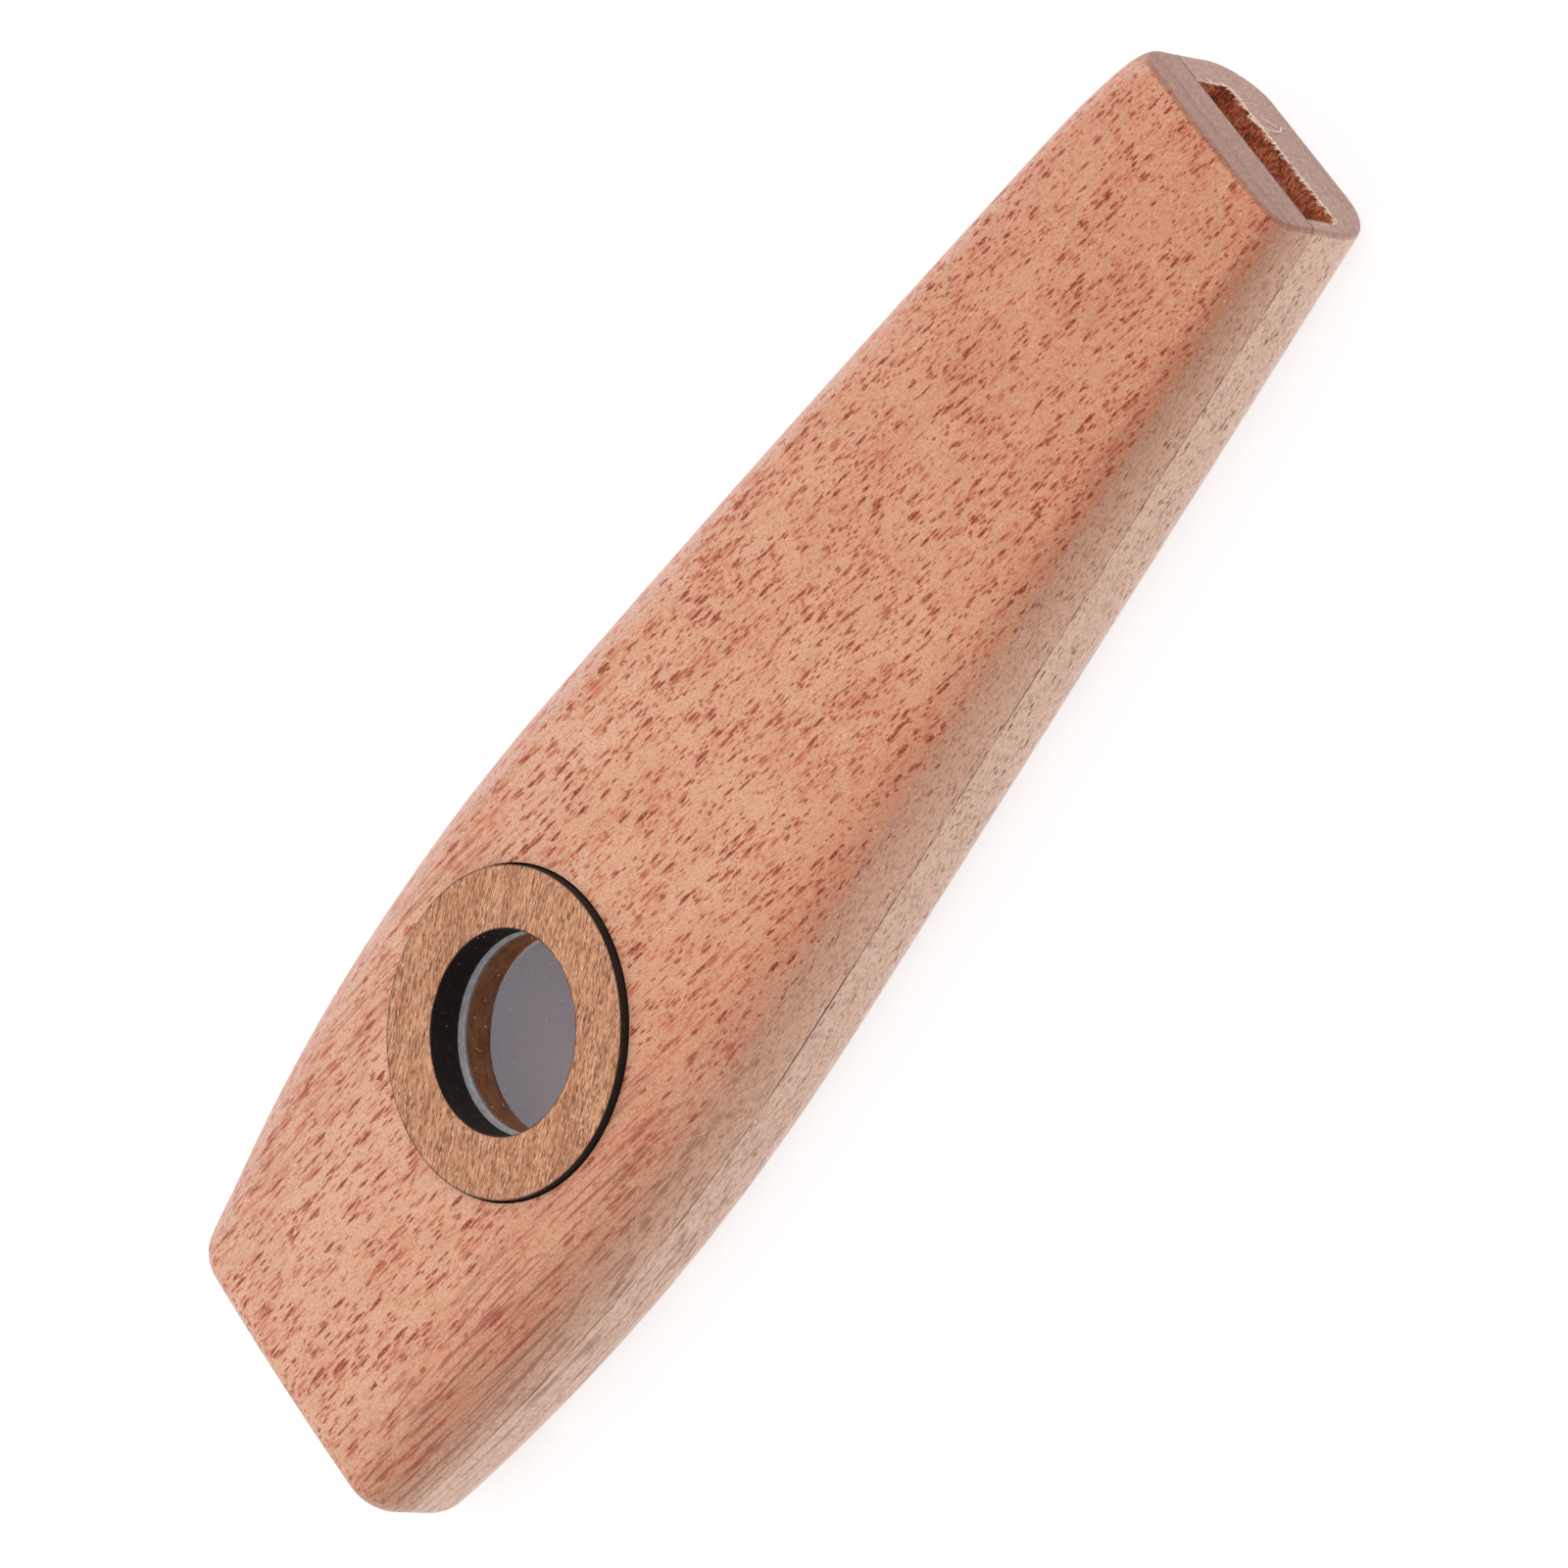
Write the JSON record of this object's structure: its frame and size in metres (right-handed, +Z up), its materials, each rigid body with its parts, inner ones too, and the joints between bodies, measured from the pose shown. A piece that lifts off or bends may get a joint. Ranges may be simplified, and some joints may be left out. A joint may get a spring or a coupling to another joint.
{
  "type": "kazoo",
  "caption": "Flat tapered wooden kazoo in two glued halves, with a mouth slot, an air channel and a clear film membrane held in its stepped seat by a pressed-in wooden ring.",
  "frame": {"origin": "under the middle of the length, on the flat face that the kazoo lies on", "axes": "+X from the tail to the mouth, +Y across the body, +Z up through the ring"},
  "size_m": [0.12, 0.0342, 0.0143],
  "materials": {
    "upper_wood": "sanded bare hardwood, orange tan with red-brown pores",
    "lower_wood": "sanded bare hardwood, paler and pinker",
    "ring_wood": "laser-cut plywood face with burnt walls",
    "membrane_rim": "pale matte rim",
    "membrane_film": "clear glossy film"
  },
  "bodies": {
    "kazoo_body": {"upper_half": "upper_wood", "lower_half": "lower_wood"},
    "ring": {"retaining_ring": "ring_wood"},
    "membrane_set": {"membrane_rim": "membrane_rim", "membrane": "membrane_film"}
  },
  "joints": [
    {"name": "ring_lift", "type": "slide", "parent": "kazoo_body", "child": "ring", "axis": [-0.0349, 0, 0.9994], "range_m": [0, 0.025]},
    {"name": "membrane_lift", "type": "slide", "parent": "kazoo_body", "child": "membrane_set", "axis": [-0.0349, 0, 0.9994], "range_m": [0, 0.0125]}
  ],
  "couplings": [
    {"joint": "membrane_lift", "follows": "ring_lift", "ratio": 0.5}
  ]
}
